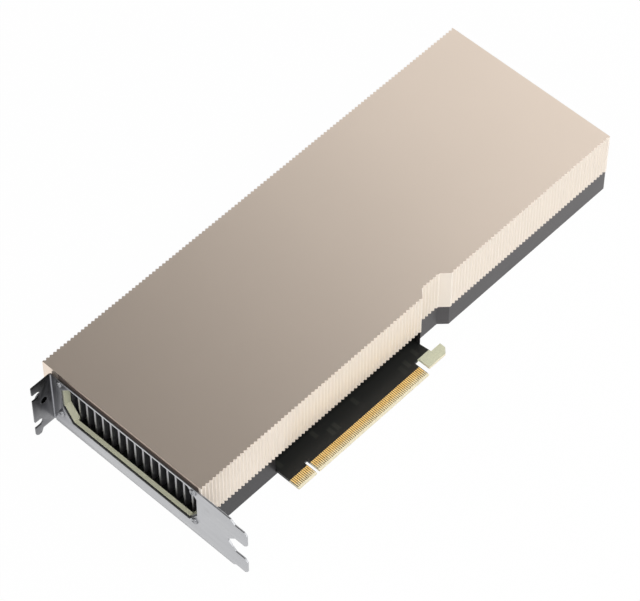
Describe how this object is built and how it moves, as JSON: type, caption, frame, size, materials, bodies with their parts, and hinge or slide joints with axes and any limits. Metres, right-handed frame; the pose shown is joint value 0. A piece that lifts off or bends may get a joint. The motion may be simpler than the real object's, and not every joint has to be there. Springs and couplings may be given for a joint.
{
  "type": "passive accelerator card",
  "caption": "Double-width passive accelerator card: grooved aluminium cover over a fin stack, dark lower frame, edge connector and slotted exhaust bracket.",
  "frame": {"origin": "centre of the edge connector's key slot, at the contact tips, on the board's component face", "axes": "+X from the bracket to the air inlet end, +Y from the contact tips across the card, +Z out of the component face, up through the heatsink"},
  "size_m": [0.28, 0.1248, 0.0392],
  "materials": {
    "champagne": "satin champagne anodised aluminium",
    "dark_frame": "satin dark grey powder coat",
    "board": "black solder mask",
    "gold": "hard gold plating",
    "bracket": "satin nickel-plated steel",
    "zinc": "zinc plated",
    "black_screws": "black oxide",
    "aluminium": "bare extruded aluminium",
    "fins": "bare sheet aluminium",
    "carrier": "green laminate",
    "silicon": "polished silicon",
    "stiffener": "nickel-plated copper",
    "paste": "grey paste",
    "pads": "soft grey silicone",
    "inductors": "pressed iron powder",
    "chips": "moulded epoxy",
    "cans": "drawn aluminium can",
    "socket": "black nylon",
    "pins": "tinned brass"
  },
  "bodies": {
    "root": {"cover": "champagne", "lower_frame": "dark_frame", "backplate": "dark_frame", "circuit_board": "board", "edge_contacts_front": "gold", "edge_contacts_back": "gold", "io_bracket": "bracket", "bracket_clinch_nut": "zinc", "bracket_screws": "zinc", "cover_screws": "black_screws", "backplate_screws": "black_screws", "board_nuts": "zinc", "heatsink_base": "aluminium", "heatsink_fins": "fins", "processor_carrier": "carrier", "processor_die": "silicon", "memory_stacks": "silicon", "package_stiffener": "stiffener", "thermal_paste": "paste", "thermal_pads": "pads", "inductors": "inductors", "power_stages": "chips", "bulk_capacitors": "cans", "power_controller": "chips", "flash_memory": "chips", "clock_crystal": "zinc", "spring_plate": "zinc", "spring_screws": "zinc", "power_socket": "socket", "power_socket_pins": "pins"}
  },
  "joints": []
}
